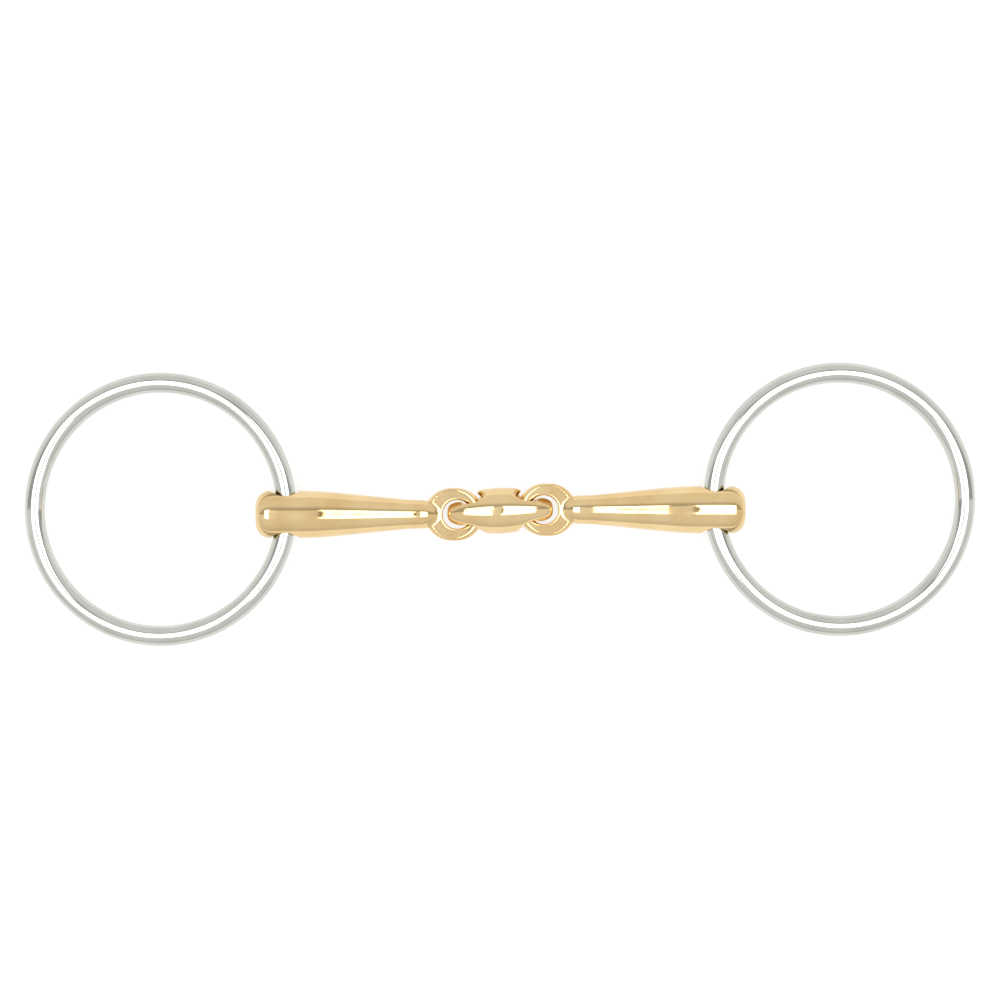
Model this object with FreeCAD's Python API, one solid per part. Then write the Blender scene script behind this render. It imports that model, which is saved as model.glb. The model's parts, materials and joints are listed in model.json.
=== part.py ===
import FreeCAD, Part
import os
from math import asin, atan, cos, degrees, sin, sqrt

V = FreeCAD.Vector

# Loose-ring snaffle bit, lying flat. +X runs along the mouthpiece, +Z is up, millimetres.
# The origin is on the resting surface, midway between the centres of the two rings.

# Rings: round wire welded into a circle
RING_INNER_DIAMETER = 70.0
RING_WIRE_DIAMETER = 6.0
RING_SPAN = 203.8            # centre to centre along X, as the bit lies
RING_STAGGER = 3.0           # the right ring lies this much further towards +Y

# Arms: a thick drilled end, a long taper, a neck and a flattened eye.
# Distances along an arm run from the outside of its thick end.
ARM_END_DIAMETER = 14.2
ARM_END_ROUNDING = 4.2
BARREL_LENGTH = 13.2         # thick end to the start of the taper
TAPER_BLEND_LENGTH = 10.8    # rounded shoulder where the taper starts
TAPER_LENGTH = 20.0
NECK_BLEND_LENGTH = 5.0      # rounded hollow where the taper ends
NECK_DIAMETER = 8.6
RING_HOLE_DIAMETER = 8.0
RING_HOLE_DISTANCE = 8.8
RING_HOLE_ROUNDING = 0.7
EYE_DISTANCE = 60.2          # to the centre of the eye's hole
EYE_DIAMETER = 15.7
EYE_HOLE_DIAMETER = 8.6
EYE_THICKNESS = 4.2
EYE_RIM_ROUNDING = 1.9
EYE_HOLE_ROUNDING = 1.3
EYE_OVAL = 1.7               # the eye's outline is this much longer on its neck side
EYE_ROOT_DISTANCE = 54.3     # the neck has come down to the eye's thickness here
EYE_ROOT_FILLET = 1.5

# Centre link: an oval body with a plain cross hole near each end, for the arms' eyes
LINK_LENGTH = 32.2
LINK_DIAMETER = 13.8
LINK_TIP_DIAMETER = 5.4
LINK_TIP_ROUNDING = 1.6
LINK_HOLE_DIAMETER = 6.0
LINK_HOLE_SPACING = 15.2
LINK_GROOVE_RADIUS = 4.0     # hollow along each side of an end bar, from the cross hole to the tip
LINK_GROOVE_OFFSET = 8.15    # from the link's axis to the groove's, where the groove starts
LINK_GROOVE_TAPER = 0.27     # the grooves close on the axis by this much per millimetre
LINK_ROLL = 28.0             # degrees: the link lies rolled, its +Y mouths turned up
LINK_YAW = 2.3               # degrees: its right end lies a little towards +Y

# Play between an eye and the link, kept over the whole fold
EYE_CLEARANCE = 0.4
ARM_FOLD = 30.0              # degrees each way from rest
FOLD_STEPS = 4

# How the pieces lie: the arms' thick ends and the link rest on the surface,
# and each eye hangs a little below the link's axis
LEFT_ARM_Y = -3.0
RIGHT_ARM_Y = -1.6
LINK_Y = -1.9
LEFT_HOLE_X = -64.3
RIGHT_HOLE_X = 64.6
HOLE_HEIGHT = 7.2
EYE_HEIGHT = 6.1
WIRE_DROP = 0.4              # the ring's wire lies this far under the middle of its hole

SAME_SIZE = 0.01             # two lengths closer than this are the same

WIRE_RADIUS = RING_WIRE_DIAMETER / 2
RING_RADIUS = RING_INNER_DIAMETER / 2 + WIRE_RADIUS
RING_TILT = asin((HOLE_HEIGHT - WIRE_DROP - WIRE_RADIUS) / (2 * RING_RADIUS))
ARM_PITCH = asin((HOLE_HEIGHT - EYE_HEIGHT) / (EYE_DISTANCE - RING_HOLE_DISTANCE))
EYE_BAR_RADIUS = (EYE_DIAMETER + EYE_HOLE_DIAMETER) / 4      # to the middle of the bar round the hole
EYE_BAR_WIDTH = (EYE_DIAMETER - EYE_HOLE_DIAMETER) / 2

NECK_START = BARREL_LENGTH + TAPER_BLEND_LENGTH + TAPER_LENGTH + NECK_BLEND_LENGTH

X_AXIS = V(1, 0, 0)
Y_AXIS = V(0, 1, 0)
Z_AXIS = V(0, 0, 1)
ORIGIN = V(0, 0, 0)


def arc(start, middle, end):
    return Part.Arc(start, middle, end).toShape()


def line(start, end):
    return Part.LineSegment(start, end).toShape()


def solid_of_revolution(edges, centre, axis):
    face = Part.Face(Part.Wire(edges))
    return face.revolve(centre, axis, 360)


def ring_centre(side):
    """Centre of a ring in plan. side is -1 for the left ring and 1 for the right."""
    return V(side * RING_SPAN / 2, side * RING_STAGGER / 2, 0)


def ring(side):
    """A wire ring tilted about Y: its outer side rests on the surface, its inner side is in the arm's hole."""
    shape = Part.makeTorus(RING_RADIUS, WIRE_RADIUS)
    shape.rotate(ORIGIN, Y_AXIS, side * degrees(RING_TILT))
    centre = ring_centre(side)
    shape.translate(V(centre.x, centre.y, WIRE_RADIUS + RING_RADIUS * sin(RING_TILT)))
    return shape


def arm_body():
    """The turned part of an arm about X, from its thick end to the root of the eye."""
    end_radius = ARM_END_DIAMETER / 2
    neck_radius = NECK_DIAMETER / 2
    slope = (end_radius - neck_radius) / (TAPER_BLEND_LENGTH / 2 + TAPER_LENGTH + NECK_BLEND_LENGTH / 2)
    angle = atan(slope)
    corner = V(ARM_END_ROUNDING, end_radius - ARM_END_ROUNDING, 0)
    face_edge = V(0, corner.y, 0)
    corner_middle = corner + V(-1, 1, 0).normalize() * ARM_END_ROUNDING
    corner_top = V(ARM_END_ROUNDING, end_radius, 0)
    barrel_end = V(BARREL_LENGTH, end_radius, 0)
    shoulder_radius = TAPER_BLEND_LENGTH / sin(angle)
    shoulder_centre = barrel_end - V(0, shoulder_radius, 0)
    shoulder_middle = shoulder_centre + V(sin(angle / 2), cos(angle / 2), 0) * shoulder_radius
    taper_start = shoulder_centre + V(sin(angle), cos(angle), 0) * shoulder_radius
    hollow_radius = NECK_BLEND_LENGTH / sin(angle)
    neck_start = V(NECK_START, neck_radius, 0)
    hollow_centre = neck_start + V(0, hollow_radius, 0)
    hollow_middle = hollow_centre - V(sin(angle / 2), cos(angle / 2), 0) * hollow_radius
    taper_end = hollow_centre - V(sin(angle), cos(angle), 0) * hollow_radius
    root_end = V(EYE_ROOT_DISTANCE, EYE_THICKNESS / 2, 0)
    root_drop = neck_start.y - root_end.y
    root_length = root_end.x - neck_start.x
    root_radius = (root_length**2 + root_drop**2) / (2 * root_drop)
    half_turn = asin(root_length / root_radius) / 2
    root_middle = neck_start + V(sin(half_turn), cos(half_turn) - 1, 0) * root_radius
    edges = [
        line(ORIGIN, face_edge),
        arc(face_edge, corner_middle, corner_top),
        line(corner_top, barrel_end),
        arc(barrel_end, shoulder_middle, taper_start),
        line(taper_start, taper_end),
        arc(taper_end, hollow_middle, neck_start),
        arc(neck_start, root_middle, root_end),
        line(root_end, V(root_end.x, 0, 0)),
        line(V(root_end.x, 0, 0), ORIGIN),
    ]
    return solid_of_revolution(edges, ORIGIN, X_AXIS)


def eye_section():
    """Section of the eye's blank across its middle: a flat bar with rounded edges, in the YZ plane."""
    half = EYE_THICKNESS / 2
    edge = EYE_DIAMETER / 2
    flat = edge - EYE_RIM_ROUNDING
    band = half - EYE_RIM_ROUNDING
    bulge = EYE_RIM_ROUNDING * sqrt(0.5)
    edges = [
        line(V(0, 0, -half), V(0, flat, -half)),
        arc(V(0, flat, -half), V(0, flat + bulge, -band - bulge), V(0, edge, -band)),
        line(V(0, edge, -band), V(0, edge, band)),
        arc(V(0, edge, band), V(0, flat + bulge, band + bulge), V(0, flat, half)),
        line(V(0, flat, half), V(0, 0, half)),
        line(V(0, 0, half), V(0, 0, -half)),
    ]
    return Part.Face(Part.Wire(edges))


def eye_blank():
    """The eye before its hole is made: a round with rounded rims, drawn out a little on its neck side."""
    half_section = eye_section()
    far_end = half_section.revolve(ORIGIN, Z_AXIS, -180)
    middle = half_section.extrude(V(-EYE_OVAL, 0, 0))
    other_middle = middle.mirror(ORIGIN, Y_AXIS)
    neck_end = far_end.mirror(ORIGIN, X_AXIS)
    neck_end.translate(V(-EYE_OVAL, 0, 0))
    return far_end.multiFuse([middle, other_middle, neck_end]).removeSplitter()


def cross_hole(diameter, length, middle, axis):
    """A cylinder of that length, centred on a point, that cuts a hole along an axis."""
    return Part.makeCylinder(diameter / 2, length, middle - axis * (length / 2), axis)


def edges_between(shape, low_x, high_x, kind):
    """The edges of a shape that lie wholly between two places along X and run on one kind of curve."""
    found = []
    for edge in shape.Edges:
        box = edge.BoundBox
        if box.XMin > low_x and box.XMax < high_x and isinstance(edge.Curve, kind):
            found.append(edge)
    return found


def arm():
    """One arm along +X, with the outside of its thick end at the origin."""
    blank = eye_blank()
    blank.translate(V(EYE_DISTANCE, 0, 0))
    shape = arm_body().fuse(blank)
    root = edges_between(shape, NECK_START, EYE_ROOT_DISTANCE + EYE_ROOT_FILLET, Part.BSplineCurve)
    shape = shape.makeFillet(EYE_ROOT_FILLET, root)
    shape = shape.cut(cross_hole(EYE_HOLE_DIAMETER, EYE_DIAMETER, V(EYE_DISTANCE, 0, 0), Z_AXIS))
    eye_mouths = edges_between(shape, EYE_ROOT_DISTANCE, EYE_DISTANCE + EYE_HOLE_DIAMETER, Part.Circle)
    eye_mouths = [edge for edge in eye_mouths if abs(edge.Curve.Radius - EYE_HOLE_DIAMETER / 2) < SAME_SIZE]
    shape = shape.makeFillet(EYE_HOLE_ROUNDING, eye_mouths)
    ring_hole_middle = V(RING_HOLE_DISTANCE, 0, 0)
    shape = shape.cut(cross_hole(RING_HOLE_DIAMETER, 2 * ARM_END_DIAMETER, ring_hole_middle, Y_AXIS))
    mouths = edges_between(shape, ARM_END_ROUNDING, BARREL_LENGTH, Part.BSplineCurve)
    shape = shape.makeFillet(RING_HOLE_ROUNDING, mouths)
    return shape.Solids[0]


def link():
    """The centre link along X about the origin, its cross holes along Y."""
    tip = LINK_LENGTH / 2
    tip_radius = LINK_TIP_DIAMETER / 2
    belly_radius = LINK_DIAMETER / 2
    edges = [
        arc(V(-tip, tip_radius, 0), V(0, belly_radius, 0), V(tip, tip_radius, 0)),
        line(V(tip, tip_radius, 0), V(tip, 0, 0)),
        line(V(tip, 0, 0), V(-tip, 0, 0)),
        line(V(-tip, 0, 0), V(-tip, tip_radius, 0)),
    ]
    shape = solid_of_revolution(edges, ORIGIN, X_AXIS)
    ends = [edge for edge in shape.Edges if edge.BoundBox.XLength < SAME_SIZE]
    shape = shape.makeFillet(LINK_TIP_ROUNDING, ends)
    for side in (-1, 1):
        hole_middle = V(side * LINK_HOLE_SPACING / 2, 0, 0)
        shape = shape.cut(cross_hole(LINK_HOLE_DIAMETER, 2 * LINK_DIAMETER, hole_middle, Y_AXIS))
        for face in (-1, 1):
            groove_start = hole_middle + V(0, face * LINK_GROOVE_OFFSET, 0)
            direction = V(side, -face * LINK_GROOVE_TAPER, 0)
            groove = Part.makeCylinder(LINK_GROOVE_RADIUS, LINK_LENGTH / 2, groove_start, direction)
            shape = shape.cut(groove)
    return shape


def hole_centre(side):
    """Centre of an arm's ring hole, as the bit lies."""
    if side < 0:
        return V(LEFT_HOLE_X, LEFT_ARM_Y, HOLE_HEIGHT)
    return V(RIGHT_HOLE_X, RIGHT_ARM_Y, HOLE_HEIGHT)


def eye_centre(side):
    reach = EYE_DISTANCE - RING_HOLE_DISTANCE
    return hole_centre(side) - V(side * reach * cos(ARM_PITCH), 0, reach * sin(ARM_PITCH))


def fold_pivot(side):
    """Middle of the eye's far bar, which turns in the link's cross hole."""
    reach = EYE_DISTANCE - RING_HOLE_DISTANCE + EYE_BAR_RADIUS
    return hole_centre(side) - V(side * reach * cos(ARM_PITCH), 0, reach * sin(ARM_PITCH))


def place_arm(shape, side):
    """Lay an arm made along +X. The left one runs from its hole towards +X, the right one towards -X."""
    shape.translate(V(-RING_HOLE_DISTANCE, 0, 0))
    shape.rotate(ORIGIN, Y_AXIS, degrees(ARM_PITCH))
    if side > 0:
        shape.rotate(ORIGIN, Z_AXIS, 180)
    shape.translate(hole_centre(side))
    return shape


def fold_clearance(side):
    """What an eye sweeps as its arm folds, with play all round: cut from the link."""
    half_height = EYE_THICKNESS / 2 + EYE_CLEARANCE
    outline = Part.Ellipse(ORIGIN, half_height, EYE_BAR_WIDTH / 2 + EYE_CLEARANCE).toShape()
    outline.rotate(ORIGIN, X_AXIS, 90)
    outline.rotate(ORIGIN, Y_AXIS, 90)
    outline.translate(V(EYE_BAR_RADIUS, 0, 0))
    swept = Part.Face(Part.Wire(outline)).revolve(ORIGIN, Z_AXIS, 360)
    swept.rotate(ORIGIN, Y_AXIS, -side * degrees(ARM_PITCH))
    swept.translate(eye_centre(side))
    turned = []
    for step in range(FOLD_STEPS + 1):
        copy = swept.copy()
        copy.rotate(fold_pivot(side), Y_AXIS, ARM_FOLD * (2 * step / FOLD_STEPS - 1))
        turned.append(copy)
    return turned


def placed_link():
    shape = link()
    shape.rotate(ORIGIN, X_AXIS, LINK_ROLL)
    shape.rotate(ORIGIN, Z_AXIS, LINK_YAW)
    shape.translate(V(0, LINK_Y, LINK_DIAMETER / 2))
    pieces = shape.cut(fold_clearance(-1) + fold_clearance(1)).Solids
    return max(pieces, key=lambda piece: piece.Volume)


parts = {
    "left_ring": ring(-1),
    "right_ring": ring(1),
    "left_arm": place_arm(arm(), -1),
    "right_arm": place_arm(arm(), 1),
    "centre_link": placed_link(),
}

os.makedirs("parts", exist_ok=True)
for name, shape in parts.items():
    shape.exportStep("parts/" + name + ".step")
    print(name, shape.isValid(), len(shape.Solids), round(shape.Volume, 1))
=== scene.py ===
import json
from math import asin, atan, cos, pi, radians

import bmesh
import bpy
import numpy as np
from bpy.props import FloatProperty, FloatVectorProperty, IntProperty, PointerProperty
from mathutils import Matrix, Vector


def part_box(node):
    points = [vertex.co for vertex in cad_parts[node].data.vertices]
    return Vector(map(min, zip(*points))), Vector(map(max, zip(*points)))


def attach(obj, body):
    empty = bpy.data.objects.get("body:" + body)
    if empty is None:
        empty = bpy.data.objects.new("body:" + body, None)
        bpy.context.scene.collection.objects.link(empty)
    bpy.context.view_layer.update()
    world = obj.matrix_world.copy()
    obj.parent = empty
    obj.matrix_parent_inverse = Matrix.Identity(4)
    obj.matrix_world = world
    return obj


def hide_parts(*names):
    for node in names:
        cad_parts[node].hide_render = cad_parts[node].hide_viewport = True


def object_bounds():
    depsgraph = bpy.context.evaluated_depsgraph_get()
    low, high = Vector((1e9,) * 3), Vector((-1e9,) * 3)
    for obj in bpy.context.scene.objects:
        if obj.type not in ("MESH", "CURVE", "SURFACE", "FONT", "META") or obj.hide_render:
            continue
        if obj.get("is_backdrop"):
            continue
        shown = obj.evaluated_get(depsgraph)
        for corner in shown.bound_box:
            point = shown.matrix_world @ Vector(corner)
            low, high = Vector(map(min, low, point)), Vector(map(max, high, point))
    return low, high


bl_info = {
    "name": "Loose-ring snaffle bit",
    "version": (1, 0, 0),
    "blender": (4, 5, 0),
    "location": "View3D > Sidebar > Snaffle bit",
    "description": "Builds a double-jointed loose-ring snaffle bit around its packed frame",
    "category": "Add Mesh",
}

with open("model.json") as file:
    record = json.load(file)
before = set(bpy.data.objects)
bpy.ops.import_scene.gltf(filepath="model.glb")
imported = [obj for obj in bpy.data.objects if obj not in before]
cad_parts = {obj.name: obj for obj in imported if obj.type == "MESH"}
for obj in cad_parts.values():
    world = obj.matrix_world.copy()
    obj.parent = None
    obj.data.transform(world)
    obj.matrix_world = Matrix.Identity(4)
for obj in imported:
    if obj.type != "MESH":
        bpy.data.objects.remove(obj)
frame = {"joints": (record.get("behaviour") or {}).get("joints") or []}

MM = 0.001
X_AXIS = Vector((1, 0, 0))
Y_AXIS = Vector((0, 1, 0))
Z_AXIS = Vector((0, 0, 1))
SIDES = {"left": -1, "right": 1}


def joint_point(name):
    """Where a joint of the frame turns, in metres."""
    found = [joint for joint in frame["joints"] if joint["name"] == name]
    return Vector(found[0]["pos_m"])


def linear(hex_colour):
    """An sRGB hex colour as linear red, green, blue and alpha."""
    channels = [int(hex_colour[start:start + 2], 16) / 255 for start in (1, 3, 5)]
    curve = [c / 12.92 if c <= 0.04045 else ((c + 0.055) / 1.055) ** 2.4 for c in channels]
    return (*curve, 1.0)


# ---------------- sizes and colours that a user may change

class RingSizes(bpy.types.PropertyGroup):
    """Sizes and colour of the two loose rings"""
    wire: FloatProperty(
        name="Wire", description="Thickness of the ring's wire", default=6.0 * MM, unit="LENGTH")
    steps_around: IntProperty(
        name="Steps round the ring", description="Faces along the whole ring", default=288, min=24)
    steps_across: IntProperty(
        name="Steps round the wire", description="Faces round the wire", default=48, min=8)
    colour: FloatVectorProperty(
        name="Steel", description="Colour of the polished stainless steel", subtype="COLOR", size=4,
        min=0.0, max=1.0, default=linear("#CDCFC9"))


class ArmSizes(bpy.types.PropertyGroup):
    """Sizes of an arm, whose thick end is drilled for the ring and whose thin end is an eye"""
    end_diameter: FloatProperty(
        name="End diameter", description="Thickness of the drilled end", default=14.2 * MM, unit="LENGTH")
    end_rounding: FloatProperty(
        name="End rounding", description="Rounding of the drilled end's rim",
        default=4.2 * MM, unit="LENGTH")
    barrel: FloatProperty(
        name="Barrel", description="Length of the straight drilled end", default=13.2 * MM, unit="LENGTH")
    shoulder: FloatProperty(
        name="Shoulder", description="Length over which the taper starts", default=10.8 * MM, unit="LENGTH")
    taper: FloatProperty(
        name="Taper", description="Length of the straight taper", default=20.0 * MM, unit="LENGTH")
    hollow: FloatProperty(
        name="Hollow", description="Length over which the taper ends", default=5.0 * MM, unit="LENGTH")
    neck_diameter: FloatProperty(
        name="Neck", description="Thickness of the neck before the eye", default=8.6 * MM, unit="LENGTH")
    hole_diameter: FloatProperty(
        name="Ring hole", description="Hole for the ring's wire", default=8.0 * MM, unit="LENGTH")
    hole_distance: FloatProperty(
        name="Ring hole distance", description="From the outside of the drilled end to its hole",
        default=8.8 * MM, unit="LENGTH")
    hole_rounding: FloatProperty(
        name="Ring hole rounding", description="Rounding of the ring hole's mouths",
        default=0.7 * MM, unit="LENGTH")
    eye_diameter: FloatProperty(
        name="Eye", description="Width of the eye", default=15.7 * MM, unit="LENGTH")
    eye_hole: FloatProperty(
        name="Eye hole", description="Hole through the eye", default=8.6 * MM, unit="LENGTH")
    eye_thickness: FloatProperty(
        name="Eye thickness", description="Thickness of the eye along its hole",
        default=4.2 * MM, unit="LENGTH")
    eye_oval: FloatProperty(
        name="Eye oval", description="Extra length of the eye on its neck side",
        default=1.7 * MM, unit="LENGTH")
    eye_rim: FloatProperty(
        name="Eye rim rounding", description="Rounding of the eye's outer rim, on its neck side",
        default=0.9 * MM, unit="LENGTH")
    eye_mouth: FloatProperty(
        name="Eye hole rounding", description="Rounding of the eye hole's mouths, on the neck side",
        default=0.6 * MM, unit="LENGTH")
    eye_far_rim: FloatProperty(
        name="Eye bar rounding", description="Rounding of the eye's outer rim, where it turns in the link",
        default=1.9 * MM, unit="LENGTH")
    eye_far_mouth: FloatProperty(
        name="Eye bar hole rounding",
        description="Rounding of the hole's mouths, where the eye turns in the link",
        default=1.3 * MM, unit="LENGTH")
    eye_root: FloatProperty(
        name="Eye root fillet", description="Hollow where the neck meets the eye",
        default=0.9 * MM, unit="LENGTH")
    colour: FloatVectorProperty(
        name="Alloy", description="Colour of the buffed copper alloy", subtype="COLOR", size=4,
        min=0.0, max=1.0, default=linear("#E9CE9C"))


class LinkSizes(bpy.types.PropertyGroup):
    """Sizes of the oval link between the arms"""
    diameter: FloatProperty(
        name="Diameter", description="Thickness of the link's middle", default=13.8 * MM, unit="LENGTH")
    length: FloatProperty(
        name="Length", description="Length of the link", default=32.2 * MM, unit="LENGTH")
    tip_diameter: FloatProperty(
        name="Tip", description="Width of the link's blunt tips", default=5.4 * MM, unit="LENGTH")
    tip_rounding: FloatProperty(
        name="Tip rounding", description="Rounding of the tips' rims", default=1.6 * MM, unit="LENGTH")
    hole_diameter: FloatProperty(
        name="Cross hole", description="Holes for the arms' eyes", default=6.0 * MM, unit="LENGTH")
    hole_spacing: FloatProperty(
        name="Hole spacing", description="Between the two cross holes", default=15.2 * MM, unit="LENGTH")
    mouth_rounding: FloatProperty(
        name="Mouth rounding", description="Rounding where a hole meets the outside",
        default=0.7 * MM, unit="LENGTH")
    eye_room_rounding: FloatProperty(
        name="Eye room rounding", description="Rounding where the room for an eye meets the outside",
        default=1.9 * MM, unit="LENGTH")
    groove_radius: FloatProperty(
        name="Groove", description="Radius of the hollows beside the end bars",
        default=4.0 * MM, unit="LENGTH")
    roll: FloatProperty(
        name="Roll", description="How far the link lies rolled over", default=radians(28), subtype="ANGLE")
    yaw: FloatProperty(
        name="Yaw", description="How far the link is turned on the surface",
        default=radians(2.3), subtype="ANGLE")
    play: FloatProperty(
        name="Play", description="Room left round an eye as it folds", default=0.4 * MM, unit="LENGTH")


class StageSizes(bpy.types.PropertyGroup):
    """Floor, lights and camera"""
    camera_height: FloatProperty(
        name="Camera height", description="Camera above the bit", default=1.0, unit="LENGTH")
    field: FloatProperty(
        name="Field", description="Width of what the camera sees at the bit's middle height",
        default=299.4 * MM, unit="LENGTH")


# ---------------- rounded joins of distances to surfaces

def rounded_cut(a, b, radius):
    """Distance to what lies inside both shapes, with the edge between them rounded."""
    outside = np.hypot(np.maximum(radius + a, 0), np.maximum(radius + b, 0))
    return np.minimum(-radius, np.maximum(a, b)) + outside


def rounded_join(a, b, radius):
    """Distance to two shapes joined, with a hollow fillet between them."""
    inside = np.hypot(np.maximum(radius - a, 0), np.maximum(radius - b, 0))
    return np.maximum(radius, np.minimum(a, b)) - inside


def moved_to(matrix, points):
    """Points carried by a 4 x 4 matrix."""
    whole = np.array(matrix)
    return points @ whole[:3, :3].T + whole[:3, 3]


def bore(points, centre, axis, radius):
    """Distance to the outside of a round hole."""
    offset = points - np.array(centre)
    axis = np.array(axis) / np.linalg.norm(axis)
    across = offset - np.outer(offset @ axis, axis)
    return radius - np.linalg.norm(across, axis=1)


def scoop(points, start, axis, radius):
    """Distance to the outside of a round groove that starts with a ball end."""
    offset = points - np.array(start)
    axis = np.array(axis) / np.linalg.norm(axis)
    across = offset - np.outer(np.maximum(offset @ axis, 0), axis)
    return radius - np.linalg.norm(across, axis=1)


# ---------------- how the pieces lie, from the frame's joints

RING_HOLES = {name: joint_point(f"{name}_ring_swing") for name in SIDES}
FOLD_PIVOTS = {name: joint_point(f"{name}_arm_fold") for name in SIDES}


def arm_place(name, sizes):
    """The matrix that lays an arm made along +X, its drilled end at the origin, where the frame has it."""
    along = FOLD_PIVOTS[name] - RING_HOLES[name]
    pitch = Matrix.Rotation(atan(-along.z / abs(along.x)), 4, "Y")
    turn = Matrix.Rotation(0 if along.x > 0 else radians(180), 4, "Z")
    back = Matrix.Translation((-sizes.hole_distance, 0, 0))
    return Matrix.Translation(RING_HOLES[name]) @ turn @ pitch @ back


def eye_centre(name, sizes):
    """Middle of an eye's hole: one bar radius from the fold pivot, towards the arm's drilled end."""
    towards_arm = (RING_HOLES[name] - FOLD_PIVOTS[name]).normalized()
    return FOLD_PIVOTS[name] + towards_arm * eye_bar_radius(sizes)


def eye_bar_radius(sizes):
    """From the middle of an eye's hole to the middle of the bar round it."""
    return (sizes.eye_diameter + sizes.eye_hole) / 4


def link_place(sizes):
    """The matrix that lays a link made along X about the origin where the frame has it."""
    low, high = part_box("centre_link")
    middle = (low + high) / 2
    middle.z = low.z + sizes.diameter / 2
    roll = Matrix.Rotation(sizes.roll, 4, "X")
    return Matrix.Translation(middle) @ Matrix.Rotation(sizes.yaw, 4, "Z") @ roll


# ---------------- distances to the surfaces of the cast pieces

ROOT_RADIUS = 7.5 * MM       # the rounded end of the neck, which runs into the eye
ROOT_REACH = 0.9             # share of that rounding that is used


def turned_radius(x, sizes):
    """Radius of the turned part of an arm at a distance x from its drilled end, and how fast it narrows."""
    neck = sizes.neck_diameter / 2
    drop = sizes.end_diameter / 2 - neck
    slope = drop / (sizes.shoulder / 2 + sizes.taper + sizes.hollow / 2)
    on_shoulder = np.clip(x - sizes.barrel, 0, sizes.shoulder)
    on_taper = np.clip(x - sizes.barrel - sizes.shoulder, 0, sizes.taper)
    on_hollow = np.clip(x - sizes.barrel - sizes.shoulder - sizes.taper, 0, sizes.hollow)
    fall = on_shoulder**2 / (2 * sizes.shoulder) + on_taper + on_hollow - on_hollow**2 / (2 * sizes.hollow)
    root_start = sizes.barrel + sizes.shoulder + sizes.taper + sizes.hollow
    on_root = np.clip(x - root_start, 0, ROOT_RADIUS * ROOT_REACH)
    root_fall = ROOT_RADIUS - np.sqrt(ROOT_RADIUS**2 - on_root**2)
    steepness = slope * (on_shoulder / sizes.shoulder - on_hollow / sizes.hollow)
    steepness = steepness + on_root / np.sqrt(ROOT_RADIUS**2 - on_root**2)
    return sizes.end_diameter / 2 - slope * fall - root_fall, steepness


def arm_distance(points, sizes):
    """Distance to an arm's surface, for an arm along +X with its drilled end at the origin."""
    x, y, z = points.T
    radius, steepness = turned_radius(x, sizes)
    turned = (np.hypot(y, z) - radius) / np.sqrt(1 + steepness**2)
    turned = rounded_cut(turned, -x, sizes.end_rounding)
    eye_x = eye_distance(sizes)
    turned = np.maximum(turned, x - eye_x)
    past_oval = x - np.clip(x, eye_x - sizes.eye_oval, eye_x)
    outline = np.hypot(past_oval, y) - sizes.eye_diameter / 2
    to_far_bar = np.clip((x - eye_x) / eye_bar_radius(sizes), 0, 1)
    rim = sizes.eye_rim + (sizes.eye_far_rim - sizes.eye_rim) * to_far_bar
    mouth = sizes.eye_mouth + (sizes.eye_far_mouth - sizes.eye_mouth) * to_far_bar
    eye = rounded_cut(outline, abs(z) - sizes.eye_thickness / 2, rim)
    whole = rounded_join(turned, eye, sizes.eye_root)
    eye_hole = bore(points, (eye_x, 0, 0), Z_AXIS, sizes.eye_hole / 2)
    whole = rounded_cut(whole, eye_hole, mouth)
    ring_hole = bore(points, (sizes.hole_distance, 0, 0), Y_AXIS, sizes.hole_diameter / 2)
    return rounded_cut(whole, ring_hole, sizes.hole_rounding)


def lemon_distance(points, sizes):
    """Distance to the link before it is drilled: an arc turned about X, with blunt rounded tips."""
    tip, belly = sizes.tip_diameter / 2, sizes.diameter / 2
    sagitta = belly - tip
    arc_radius = (sizes.length**2 / 4 + sagitta**2) / (2 * sagitta)
    x, y, z = points.T
    side = np.hypot(x, np.hypot(y, z) + arc_radius - belly) - arc_radius
    return rounded_cut(side, abs(x) - sizes.length / 2, sizes.tip_rounding)


GROOVE_OFFSET = 8.15 * MM    # from the link's axis to the groove's, where the groove starts
GROOVE_TAPER = 0.27          # the grooves close on the axis by this much per unit of length
SWEEP_STEPS = 12             # fold angles that the finished hollows are laid on
CUTTER_STEPS = 4             # fold angles that the rough link is cut at


def eye_bar_section(arm_sizes, play):
    """Half the width and half the height of the eye's bar with play all round."""
    half_width = (arm_sizes.eye_diameter - arm_sizes.eye_hole) / 4 + play
    return half_width, arm_sizes.eye_thickness / 2 + play


def folded_eyes(name, arm_sizes, steps):
    """Matrices that lay an eye made flat about the origin, one for each step of its fold."""
    pivot = FOLD_PIVOTS[name]
    tilt = Matrix.Rotation(arm_place(name, arm_sizes).to_euler().y, 4, "Y")
    flat = Matrix.Translation(eye_centre(name, arm_sizes)) @ tilt
    found = [joint for joint in frame["joints"] if joint["name"] == f"{name}_arm_fold"]
    low, high = found[0]["range_deg"]
    places = []
    for step in range(steps + 1):
        turn = Matrix.Rotation(radians(low + (high - low) * step / steps), 4, "Y")
        places.append(Matrix.Translation(pivot) @ turn @ Matrix.Translation(-pivot) @ flat)
    return places


def swept_eye(points, name, arm_sizes, play):
    """Distance to the outside of what an eye's bar sweeps over its whole fold, with play all round.

    The room's section is a little squarer than the bar's, so that the bar's edges stay clear too.
    """
    half_width, half_height = eye_bar_section(arm_sizes, play)
    nearest = np.full(len(points), np.inf)
    for place in folded_eyes(name, arm_sizes, SWEEP_STEPS):
        x, y, z = moved_to(place.inverted(), points).T
        across = abs(np.hypot(x, y) - eye_bar_radius(arm_sizes)) / half_width
        upright = abs(z) / half_height
        nearest = np.minimum(nearest, across * across * across + upright * upright * upright)
    return (1 - np.cbrt(nearest)) * half_width


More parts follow.
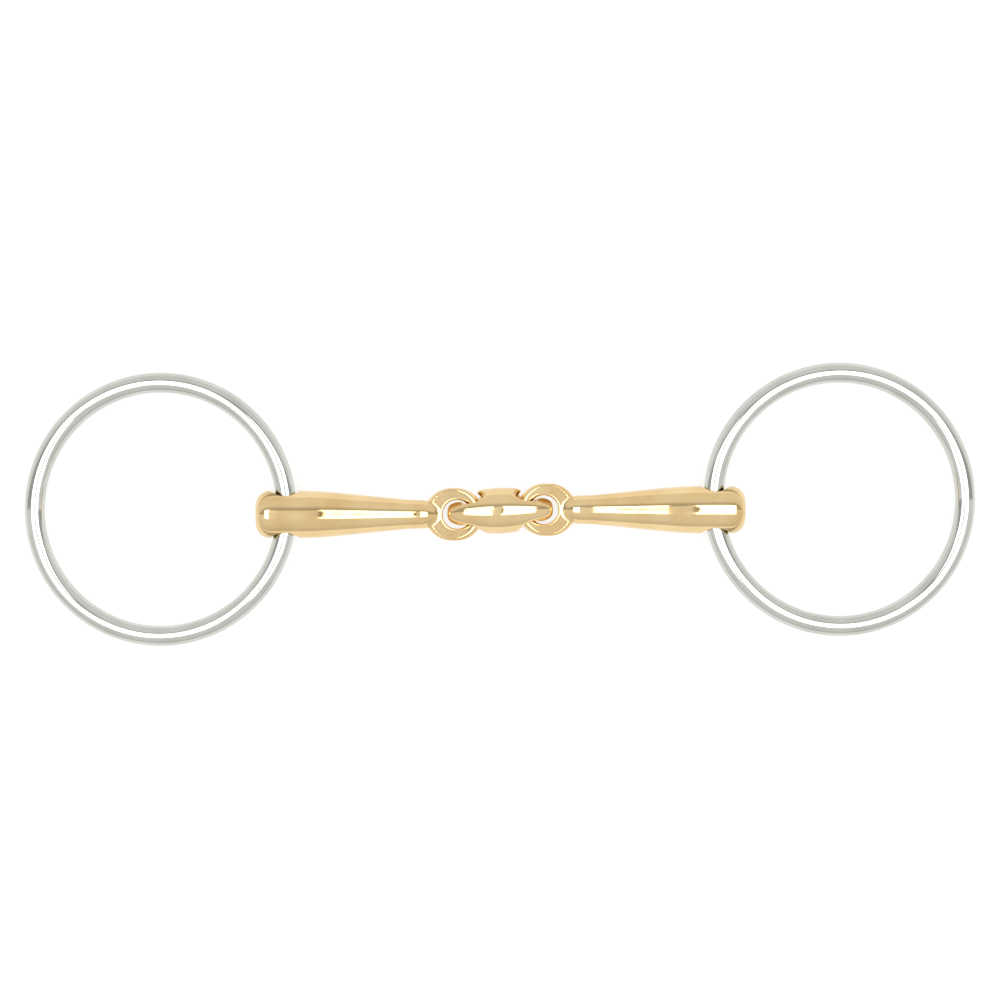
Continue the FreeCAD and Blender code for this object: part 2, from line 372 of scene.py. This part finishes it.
def link_distance(points, sizes, arm_sizes):
    """Distance to the link's surface, where it lies."""
    place = link_place(sizes)
    local = moved_to(place.inverted(), points)
    whole = lemon_distance(local, sizes)
    for end in (-1, 1):
        hole = (end * sizes.hole_spacing / 2, 0, 0)
        whole = rounded_cut(whole, bore(local, hole, Y_AXIS, sizes.hole_diameter / 2), sizes.mouth_rounding)
        for face in (-1, 1):
            start = (hole[0], face * GROOVE_OFFSET, 0)
            groove = scoop(local, start, (end, -face * GROOVE_TAPER, 0), sizes.groove_radius)
            whole = rounded_cut(whole, groove, sizes.mouth_rounding)
    for name in SIDES:
        whole = rounded_cut(whole, swept_eye(points, name, arm_sizes, sizes.play), sizes.eye_room_rounding)
    return whole


# ---------------- meshes

REMESH_VOXEL = 0.22 * MM     # size of the even faces of a cast piece
RELAX_ROUNDS = 4             # times that those faces are evened out on the surface
SETTLE_STEPS = 3             # steps that bring a point onto the surface
GRADIENT_STEP = 0.001 * MM   # distance over which a surface's direction is measured
LEAST_SLOPE_SQUARED = 0.1    # keeps a point from leaping away where a distance hardly changes
SAME_PLACE = 0.001 * MM      # corners closer than this are merged
ROUGH_STEPS = 48             # sides of the rough bars and their cutters
BALL_STEPS = 18              # bands of a ball that rounds a groove's end
SECTION_STEPS = 20           # sides of the oval section that cuts an eye's room


def settle(points, distance):
    """Moves points straight onto the surface where the distance is zero."""
    for _ in range(SETTLE_STEPS):
        here = distance(points)
        gradient = np.empty_like(points)
        for axis in range(3):
            step = np.zeros(3)
            step[axis] = GRADIENT_STEP
            gradient[:, axis] = (distance(points + step) - here) / GRADIENT_STEP
        slope_squared = np.maximum((gradient**2).sum(axis=1), LEAST_SLOPE_SQUARED)
        points = points - gradient * (here / slope_squared)[:, None]
    return points


def mesh_points(mesh):
    """The corners of a mesh, one row each."""
    flat = np.empty(len(mesh.vertices) * 3)
    mesh.vertices.foreach_get("co", flat)
    return flat.reshape(-1, 3)


def set_mesh_points(mesh, points):
    """Puts the corners of a mesh at those points."""
    mesh.vertices.foreach_set("co", points.ravel())
    mesh.update()


def new_object(name, bm):
    """An object made of a bmesh, which is freed."""
    mesh = bpy.data.meshes.new(name)
    bm.to_mesh(mesh)
    bm.free()
    made = bpy.data.objects.new(name, mesh)
    bpy.context.scene.collection.objects.link(made)
    return made


def round_bar(name, start, end, radius):
    """A plain round bar between two points, used to cut a hole."""
    start, end = Vector(start), Vector(end)
    turn = (end - start).to_track_quat("Z", "Y").to_matrix().to_4x4()
    bm = bmesh.new()
    bmesh.ops.create_cone(
        bm, cap_ends=True, segments=ROUGH_STEPS, radius1=radius, radius2=radius, depth=(end - start).length,
        matrix=Matrix.Translation((start + end) / 2) @ turn)
    return new_object(name, bm)


def ball(name, centre, radius):
    """A plain ball, used to cut a rounded hollow."""
    bm = bmesh.new()
    bmesh.ops.create_uvsphere(
        bm, u_segments=BALL_STEPS * 2, v_segments=BALL_STEPS, radius=radius,
        matrix=Matrix.Translation(centre))
    return new_object(name, bm)


def turned(bm, outline, steps):
    """Turns an outline of points in the XZ plane, from pole to pole on the X axis, full circle about X."""
    corners = [bm.verts.new(point) for point in outline]
    edges = [bm.edges.new(pair) for pair in zip(corners, corners[1:])]
    bmesh.ops.spin(
        bm, geom=corners + edges, cent=(0, 0, 0), axis=X_AXIS, dvec=(0, 0, 0), angle=radians(360),
        steps=steps, use_merge=True)
    bmesh.ops.remove_doubles(bm, verts=bm.verts, dist=SAME_PLACE)
    bmesh.ops.recalc_face_normals(bm, faces=bm.faces)


def eye_cutter(name, place, arm_sizes, play):
    """A ring with the eye bar's oval section, used to cut the room that the eye turns in."""
    half_width, half_height = eye_bar_section(arm_sizes, play)
    upright = Matrix.Translation((eye_bar_radius(arm_sizes), 0, 0)) @ Matrix.Rotation(radians(90), 4, "X")
    bm = bmesh.new()
    bmesh.ops.create_circle(
        bm, segments=SECTION_STEPS, radius=1,
        matrix=upright @ Matrix.Diagonal((half_width, half_height, 1, 1)))
    bmesh.ops.spin(
        bm, geom=bm.verts[:] + bm.edges[:], cent=(0, 0, 0), axis=Z_AXIS, dvec=(0, 0, 0), angle=radians(360),
        steps=ROUGH_STEPS, use_merge=True)
    bmesh.ops.remove_doubles(bm, verts=bm.verts, dist=SAME_PLACE)
    bmesh.ops.recalc_face_normals(bm, faces=bm.faces)
    bmesh.ops.transform(bm, matrix=place, verts=bm.verts)
    return new_object(name, bm)


def keep_largest(mesh):
    """Removes every loose scrap that the cutters left, so that one closed piece stays."""
    bm = bmesh.new()
    bm.from_mesh(mesh)
    unseen = set(bm.verts)
    islands = []
    while unseen:
        island = {unseen.pop()}
        front = list(island)
        while front:
            corner = front.pop()
            for edge in corner.link_edges:
                other = edge.other_vert(corner)
                if other in unseen:
                    unseen.remove(other)
                    island.add(other)
                    front.append(other)
        islands.append(island)
    largest = max(islands, key=len)
    bmesh.ops.delete(bm, geom=[corner for corner in bm.verts if corner not in largest], context="VERTS")
    bm.to_mesh(mesh)
    bm.free()


def cast_piece(name, rough, cutters, distance):
    """A cast and polished piece: its rough shape is drilled, remeshed and laid on its true surface."""
    for cutter in cutters:
        drill = rough.modifiers.new("Drill", "BOOLEAN")
        drill.operation = "DIFFERENCE"
        drill.solver = "MANIFOLD"
        drill.object = cutter
    even = rough.modifiers.new("Even", "REMESH")
    even.mode = "VOXEL"
    even.voxel_size = REMESH_VOXEL
    bpy.context.view_layer.update()
    mesh = bpy.data.meshes.new_from_object(rough.evaluated_get(bpy.context.evaluated_depsgraph_get()))
    for old in [rough, *cutters]:
        bpy.data.objects.remove(old)
    if not mesh.vertices:
        raise RuntimeError(f"{name} came out empty")
    mesh.name = name
    keep_largest(mesh)
    set_mesh_points(mesh, settle(mesh_points(mesh), distance))
    for _ in range(RELAX_ROUNDS):
        bm = bmesh.new()
        bm.from_mesh(mesh)
        bmesh.ops.smooth_vert(
            bm, verts=bm.verts, factor=0.5, use_axis_x=True, use_axis_y=True, use_axis_z=True)
        bm.to_mesh(mesh)
        bm.free()
        set_mesh_points(mesh, settle(mesh_points(mesh), distance))
    mesh.shade_smooth()
    made = bpy.data.objects.new(name, mesh)
    bpy.context.scene.collection.objects.link(made)
    return made


def finish_piece(piece, node, material):
    """Gives a piece its finish and lets it stand for the frame's node of that name."""
    piece.data.materials.clear()
    piece.data.materials.append(material)
    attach(piece, node)
    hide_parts(node)


def build_ring(name, sizes):
    """A ring of round wire: its outer side rests on the surface, its inner side is in the arm's hole."""
    low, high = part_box(name)
    wire = sizes.wire / 2
    radius = (high.y - low.y) / 2 - wire
    tilt = asin((high.z - low.z - sizes.wire) / (2 * radius))
    bm = bmesh.new()
    section = Matrix.Translation((radius, 0, 0)) @ Matrix.Rotation(radians(90), 4, "X")
    bmesh.ops.create_circle(bm, segments=sizes.steps_across, radius=wire, matrix=section)
    bmesh.ops.spin(
        bm, geom=bm.verts[:] + bm.edges[:], cent=(0, 0, 0), axis=Z_AXIS, dvec=(0, 0, 0), angle=radians(360),
        steps=sizes.steps_around, use_merge=True)
    bmesh.ops.remove_doubles(bm, verts=bm.verts, dist=SAME_PLACE)
    bmesh.ops.recalc_face_normals(bm, faces=bm.faces)
    side = 1 if (low.x + high.x) > 0 else -1
    place = Matrix.Translation((low + high) / 2) @ Matrix.Rotation(side * tilt, 4, "Y")
    bmesh.ops.transform(bm, matrix=place, verts=bm.verts)
    ring = new_object(name + "_wire", bm)
    ring.data.shade_smooth()
    return ring


def eye_distance(sizes):
    """From the outside of an arm's drilled end to the middle of its eye."""
    reach = (FOLD_PIVOTS["left"] - RING_HOLES["left"]).length
    return sizes.hole_distance + reach - eye_bar_radius(sizes)


CORNER_SHARE = 0.3           # how far a rounding's middle lies in from the sharp corner, in roundings
ROUGH_NARROWING = 0.8        # the rough neck narrows to this share as it reaches the eye


def build_arm(sizes):
    """An arm along +X: a turned bar with a round hole at its thick end and an eye at its thin end."""
    eye_x = eye_distance(sizes)
    end, neck = sizes.end_diameter / 2, sizes.neck_diameter / 2
    taper_end = sizes.barrel + sizes.shoulder + sizes.taper + sizes.hollow
    corner = sizes.end_rounding * CORNER_SHARE
    outline = [
        (0, 0, 0), (0, 0, end - sizes.end_rounding), (corner, 0, end - corner), (sizes.end_rounding, 0, end),
        (sizes.barrel, 0, end), (taper_end, 0, neck),
        (eye_x - sizes.eye_diameter / 2, 0, neck * ROUGH_NARROWING), (eye_x - sizes.eye_hole / 2, 0, 0)]
    bm = bmesh.new()
    turned(bm, outline, ROUGH_STEPS)
    rough = new_object("arm_rough", bm)
    eye = round_bar("eye_rough", (eye_x, 0, -sizes.eye_thickness / 2), (eye_x, 0, sizes.eye_thickness / 2),
                    sizes.eye_diameter / 2)
    join = rough.modifiers.new("Eye", "BOOLEAN")
    join.operation = "UNION"
    join.solver = "MANIFOLD"
    join.object = eye
    reach = sizes.eye_diameter
    eye_hole = round_bar("eye_hole", (eye_x, 0, -reach), (eye_x, 0, reach), sizes.eye_hole / 2)
    ring_hole = round_bar("ring_hole", (sizes.hole_distance, -reach, 0), (sizes.hole_distance, reach, 0),
                          sizes.hole_diameter / 2)
    arm = cast_piece(
        "left_arm_bar", rough, [eye_hole, ring_hole], lambda points: arm_distance(points, sizes))
    bpy.data.objects.remove(eye)
    return arm


BELLY_SHARES = (-1, -0.7, -0.35, 0, 0.35, 0.7, 1)   # places along the rough link, in half lengths
BELLY_FULLNESS = 0.7                                # under 1 swells the rough link between them


def build_link(sizes, arm_sizes):
    """The oval link, drilled across near both ends and hollowed to let the eyes fold."""
    place = link_place(sizes)
    half, tip, belly = sizes.length / 2, sizes.tip_diameter / 2, sizes.diameter / 2
    outline = [
        (half * share, 0, tip + (belly - tip) * cos(share * radians(90)) ** BELLY_FULLNESS)
        for share in BELLY_SHARES]
    bm = bmesh.new()
    turned(bm, [(-half, 0, 0), *outline, (half, 0, 0)], ROUGH_STEPS)
    bmesh.ops.transform(bm, matrix=place, verts=bm.verts)
    rough = new_object("link_rough", bm)
    cutters = []
    for end in (-1, 1):
        hole_x = end * sizes.hole_spacing / 2
        cutters.append(round_bar(
            "cross_hole", place @ Vector((hole_x, -belly * 2, 0)), place @ Vector((hole_x, belly * 2, 0)),
            sizes.hole_diameter / 2))
        for face in (-1, 1):
            start = Vector((hole_x, face * GROOVE_OFFSET, 0))
            reach = Vector((end, -face * GROOVE_TAPER, 0)) * half
            cutters.append(round_bar("groove", place @ start, place @ (start + reach), sizes.groove_radius))
            cutters.append(ball("groove_end", place @ start, sizes.groove_radius))
    for name in SIDES:
        for eye_place in folded_eyes(name, arm_sizes, CUTTER_STEPS):
            cutters.append(eye_cutter("eye_room", eye_place, arm_sizes, sizes.play))
    return cast_piece(
        "centre_link_body", rough, cutters, lambda points: link_distance(points, sizes, arm_sizes))


# ---------------- materials

def add_node(tree, kind, inputs, **settings):
    """Adds a shader node, with its settings, its constant inputs and its links."""
    node = tree.nodes.new("ShaderNode" + kind)
    for setting, value in settings.items():
        setattr(node, setting, value)
    for socket, value in inputs.items():
        if isinstance(value, bpy.types.NodeSocket):
            tree.links.new(value, node.inputs[socket])
        else:
            node.inputs[socket].default_value = value
    return node


def empty_material(name):
    """A material with no nodes yet."""
    material = bpy.data.materials.new(name)
    material.use_nodes = True
    material.node_tree.nodes.clear()
    return material


def per_size(millimetres):
    """Scale of a pattern on Object coordinates whose features are that wide."""
    return 1 / (millimetres * MM)


DRIFT_WIDTH = 9              # millimetres between a paler and a deeper patch of colour
HAZE_WIDTH = 4               # millimetres between a clearer and a hazier patch
WAVE_WIDTH = 6               # millimetres between the soft waves that hand buffing leaves


def polished_metal(name, colour, deep_colour, haze, lines, line_height, wave_height):
    """A mirror-polished metal: drifting colour, patches of buffing haze, fine lines and soft waves."""
    material = empty_material(name)
    tree = material.node_tree
    place = add_node(tree, "TexCoord", {}).outputs["Object"]
    drift = add_node(tree, "TexNoise", {
        "Vector": place, "Scale": per_size(DRIFT_WIDTH), "Detail": 3.0, "Roughness": 0.5})
    tone = add_node(tree, "MapRange", {
        "Value": drift.outputs["Fac"], "From Min": 0.35, "From Max": 0.7, "To Min": 0.0, "To Max": 1.0})
    base = add_node(tree, "Mix", {
        "Factor": tone.outputs["Result"], "A": colour, "B": deep_colour}, data_type="RGBA")
    patches = add_node(tree, "TexNoise", {
        "Vector": place, "Scale": per_size(HAZE_WIDTH), "Detail": 5.0, "Roughness": 0.6})
    gloss = add_node(tree, "MapRange", {
        "Value": patches.outputs["Fac"], "From Min": 0.3, "From Max": 0.75,
        "To Min": haze[0], "To Max": haze[1]})
    stretched = add_node(tree, "Mapping", {"Vector": place, "Scale": lines})
    scratches = add_node(tree, "TexNoise", {
        "Vector": stretched.outputs["Vector"], "Scale": 1.0, "Detail": 2.0})
    waves = add_node(tree, "TexNoise", {"Vector": place, "Scale": per_size(WAVE_WIDTH), "Detail": 0.0})
    soft = add_node(tree, "Bump", {
        "Height": waves.outputs["Fac"], "Strength": 1.0, "Distance": wave_height})
    fine = add_node(tree, "Bump", {
        "Height": scratches.outputs["Fac"], "Strength": 1.0, "Distance": line_height,
        "Normal": soft.outputs["Normal"]})
    shader = add_node(tree, "BsdfPrincipled", {
        "Base Color": base.outputs["Result"], "Metallic": 1.0, "Roughness": gloss.outputs["Result"],
        "Normal": fine.outputs["Normal"]})
    add_node(tree, "OutputMaterial", {"Surface": shader.outputs["BSDF"]})
    return material


def polished_stainless(colour):
    """Stainless steel wire, ground and mirror polished: neutral grey with crisp white highlights."""
    # the polishing marks are drawn 0.5 mm wide, because the real ones are too fine to show
    return polished_metal(
        "polished_stainless", colour, linear("#C3C5BD"), (0.03, 0.09),
        (per_size(0.5), per_size(0.5), per_size(0.5)), 0.0002 * MM, 0.002 * MM)


def buffed_copper_alloy(colour):
    """Cast copper-silicon-zinc alloy, buffed by hand across the bars: pale gold, soft-edged highlights."""
    # the buffing lines are drawn 0.4 mm wide and 3 mm long, because the real ones are too fine to show
    return polished_metal(
        "buffed_copper_alloy", colour, linear("#DFBE88"), (0.04, 0.12),
        (per_size(0.4), per_size(3), per_size(3)), 0.0004 * MM, 0.05 * MM)


def pale_floor(colour, glow):
    """Matt white acrylic sheet, lit from below: it stays clean white right up to the metal."""
    material = empty_material("white_acrylic")
    tree = material.node_tree
    shader = add_node(tree, "BsdfPrincipled", {
        "Base Color": colour, "Roughness": 0.6, "Emission Color": linear("#FFFFFF"),
        "Emission Strength": glow})
    add_node(tree, "OutputMaterial", {"Surface": shader.outputs["BSDF"]})
    return material


# ---------------- stage

# Brightness of the tent's walls against how far they lean, which is Y over Z, and where its top starts
FAR_WALL = {"From Min": 0.4, "From Max": 0.95, "To Min": 0.5, "To Max": 0.92}
NEAR_WALL = {"From Min": -4.0, "From Max": -0.3, "To Min": 0.74, "To Max": 0.93}
TENT_TOP = {"From Min": 0.93, "From Max": 0.96, "To Min": 0.0, "To Max": 1.0}
TOP_LEVEL = 0.92


def soft_tent():
    """World: the inside of a white light tent, darkest just past the overhead lights on the far side."""
    world = bpy.data.worlds.new("light_tent")
    world.use_nodes = True
    tree = world.node_tree
    tree.nodes.clear()
    direction = add_node(tree, "TexCoord", {}).outputs["Generated"]
    split = add_node(tree, "SeparateXYZ", {"Vector": direction})
    slope = add_node(tree, "Math", {0: split.outputs["Y"], 1: split.outputs["Z"]}, operation="DIVIDE")
    far_wall = add_node(
        tree, "MapRange", {"Value": slope.outputs["Value"], **FAR_WALL}, interpolation_type="SMOOTHSTEP")
    near_wall = add_node(tree, "MapRange", {"Value": slope.outputs["Value"], **NEAR_WALL})
    is_far = add_node(tree, "Math", {0: split.outputs["Y"], 1: 0.0}, operation="GREATER_THAN")
    wall = add_node(tree, "Mix", {
        "Factor": is_far.outputs["Value"], "A": near_wall.outputs["Result"],
        "B": far_wall.outputs["Result"]})
    top = add_node(tree, "MapRange", {"Value": split.outputs["Z"], **TENT_TOP})
    level = add_node(tree, "Mix", {
        "Factor": top.outputs["Result"], "A": wall.outputs["Result"], "B": TOP_LEVEL})
    background = add_node(tree, "Background", {
        "Color": linear("#FFFFFF"), "Strength": level.outputs["Result"]})
    add_node(tree, "OutputWorld", {"Surface": background.outputs["Background"]})
    bpy.context.scene.world = world


LIGHT_HEIGHT = 1.0           # the lights hang as high as the camera
LIGHT_DEPTH = 0.8            # from the near edge of the lights to the far edge
LIGHT_RADIANCE = 3.0         # brightness of the lights' faces
LIGHT_REACH = 0.8            # from the middle to the lights' outer ends
SLOT = (-0.135, 0.045)       # the lights' inner ends: the camera looks down between them
CARD_DROP = 0.01             # the cards hang this far under the lights
CARDS = (                    # lowest and highest corners of each dark card in plan
    ((0.03, -0.25), (0.07, 0.3)),
    ((0.152, -0.13), (0.170, 0.17)),
    ((-0.170, -0.13), (-0.148, 0.17)),
)
CARD_SIDES = 32              # each card is a round or oval of this many sides
FLOOR_SIZE = 3.0             # half the floor's width
FLOOR_GLOW = 0.78            # brightness that the floor gives by itself
FLOOR_GAP = 0.02 * MM        # the floor lies this far under the bit's lowest point
SENSOR_WIDTH = 36            # millimetres
CAMERA_Y = 1.3 * MM          # the camera looks down this far beyond the bit's middle


def overhead_light(name, low_x, high_x):
    """A soft box over the table, facing straight down, between two places along X."""
    light = bpy.data.lights.new(name, "AREA")
    light.shape = "RECTANGLE"
    light.size = high_x - low_x
    light.size_y = LIGHT_DEPTH
    light.energy = LIGHT_RADIANCE * pi * light.size * light.size_y
    made = bpy.data.objects.new(name, light)
    made.location = ((low_x + high_x) / 2, 0, LIGHT_HEIGHT)
    bpy.context.scene.collection.objects.link(made)


def overhead_card(name, low, high, material):
    """A dark card that hangs under the lights and leaves a dark spot in the polished metal."""
    width, depth = Vector(high) - Vector(low)
    bm = bmesh.new()
    bmesh.ops.create_circle(bm, cap_ends=True, segments=CARD_SIDES, radius=0.5)
    middle = ((low[0] + high[0]) / 2, (low[1] + high[1]) / 2, LIGHT_HEIGHT - CARD_DROP)
    bmesh.ops.transform(
        bm, matrix=Matrix.Translation(middle) @ Matrix.Diagonal((width, depth, -1, 1)), verts=bm.verts)
    card = new_object(name, bm)
    card.data.materials.append(material)
    card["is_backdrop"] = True


def dull_card(colour):
    """Matt olive card, as the frames and clamps round a camera look."""
    material = empty_material("dull_card")
    tree = material.node_tree
    shader = add_node(tree, "BsdfPrincipled", {"Base Color": colour, "Roughness": 0.8})
    add_node(tree, "OutputMaterial", {"Surface": shader.outputs["BSDF"]})
    return material


def build_stage(sizes):
    """The floor, the tent, the lights with their cards, and the camera straight above."""
    low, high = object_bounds()
    bm = bmesh.new()
    bmesh.ops.create_grid(bm, x_segments=8, y_segments=8, size=FLOOR_SIZE)
    floor = new_object("floor", bm)
    floor.location.z = low.z - FLOOR_GAP
    floor.data.materials.append(pale_floor(linear("#7C7C7A"), FLOOR_GLOW))
    floor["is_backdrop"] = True
    soft_tent()
    overhead_light("left_soft_box", -LIGHT_REACH, SLOT[0])
    overhead_light("right_soft_box", SLOT[1], LIGHT_REACH)
    olive = dull_card(linear("#3B3A28"))
    for number, (card_low, card_high) in enumerate(CARDS):
        overhead_card(f"card_{number}", card_low, card_high, olive)
    camera_data = bpy.data.cameras.new("camera")
    camera_data.sensor_width = SENSOR_WIDTH
    distance = sizes.camera_height - (low.z + high.z) / 2
    camera_data.lens = camera_data.sensor_width * distance / sizes.field
    camera = bpy.data.objects.new("camera", camera_data)
    middle = (low + high) / 2
    camera.location = (middle.x, middle.y + CAMERA_Y, sizes.camera_height)
    bpy.context.scene.collection.objects.link(camera)
    bpy.context.scene.camera = camera
    bpy.context.scene.view_settings.view_transform = "Standard"


# ---------------- operators, panel and registration

class SNAFFLE_OT_rings(bpy.types.Operator):
    """Build the two loose rings of polished steel wire"""
    bl_idname = "snaffle.rings"
    bl_label = "Build rings"

    def execute(self, context):
        sizes = context.scene.snaffle_rings
        material = polished_stainless(sizes.colour)
        for name in SIDES:
            ring = build_ring(f"{name}_ring", sizes)
            finish_piece(ring, f"{name}_ring", material)
        return {"FINISHED"}


class SNAFFLE_OT_arms(bpy.types.Operator):
    """Build the two tapered arms of the mouthpiece"""
    bl_idname = "snaffle.arms"
    bl_label = "Build arms"

    def execute(self, context):
        sizes = context.scene.snaffle_arms
        material = buffed_copper_alloy(sizes.colour)
        left = build_arm(sizes)
        right = bpy.data.objects.new("right_arm_bar", left.data.copy())
        context.scene.collection.objects.link(right)
        for name, arm in zip(SIDES, (left, right)):
            arm.data.transform(arm_place(name, sizes))
            finish_piece(arm, f"{name}_arm", material)
        return {"FINISHED"}


class SNAFFLE_OT_link(bpy.types.Operator):
    """Build the oval link between the arms"""
    bl_idname = "snaffle.link"
    bl_label = "Build link"

    def execute(self, context):
        arms = context.scene.snaffle_arms
        link = build_link(context.scene.snaffle_link, arms)
        material = bpy.data.materials.get("buffed_copper_alloy") or buffed_copper_alloy(arms.colour)
        finish_piece(link, "centre_link", material)
        return {"FINISHED"}


class SNAFFLE_OT_stage(bpy.types.Operator):
    """Lay the floor and set the lights and the camera"""
    bl_idname = "snaffle.stage"
    bl_label = "Build stage"

    def execute(self, context):
        build_stage(context.scene.snaffle_stage)
        return {"FINISHED"}


class SNAFFLE_PT_panel(bpy.types.Panel):
    """Sizes, colours and steps of the snaffle bit"""
    bl_label = "Snaffle bit"
    bl_idname = "SNAFFLE_PT_panel"
    bl_space_type = "VIEW_3D"
    bl_region_type = "UI"
    bl_category = "Snaffle bit"

    def draw(self, context):
        scene = context.scene
        for group in (scene.snaffle_rings, scene.snaffle_arms, scene.snaffle_link, scene.snaffle_stage):
            column = self.layout.column(align=True)
            for name in group.__annotations__:
                column.prop(group, name)
        for operator in OPERATORS:
            self.layout.operator(operator.bl_idname)


GROUPS = {
    "snaffle_rings": RingSizes,
    "snaffle_arms": ArmSizes,
    "snaffle_link": LinkSizes,
    "snaffle_stage": StageSizes,
}
OPERATORS = (SNAFFLE_OT_rings, SNAFFLE_OT_arms, SNAFFLE_OT_link, SNAFFLE_OT_stage)


def register():
    for group in GROUPS.values():
        bpy.utils.register_class(group)
    for name, group in GROUPS.items():
        setattr(bpy.types.Scene, name, PointerProperty(type=group))
    for operator in OPERATORS:
        bpy.utils.register_class(operator)
    bpy.utils.register_class(SNAFFLE_PT_panel)


def unregister():
    bpy.utils.unregister_class(SNAFFLE_PT_panel)
    for operator in reversed(OPERATORS):
        bpy.utils.unregister_class(operator)
    for name in GROUPS:
        delattr(bpy.types.Scene, name)
    for group in reversed(GROUPS.values()):
        bpy.utils.unregister_class(group)


def main():
    register()
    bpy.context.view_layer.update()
    bpy.ops.snaffle.rings()
    bpy.ops.snaffle.arms()
    bpy.ops.snaffle.link()
    bpy.ops.snaffle.stage()


if __name__ == "__main__":
    main()
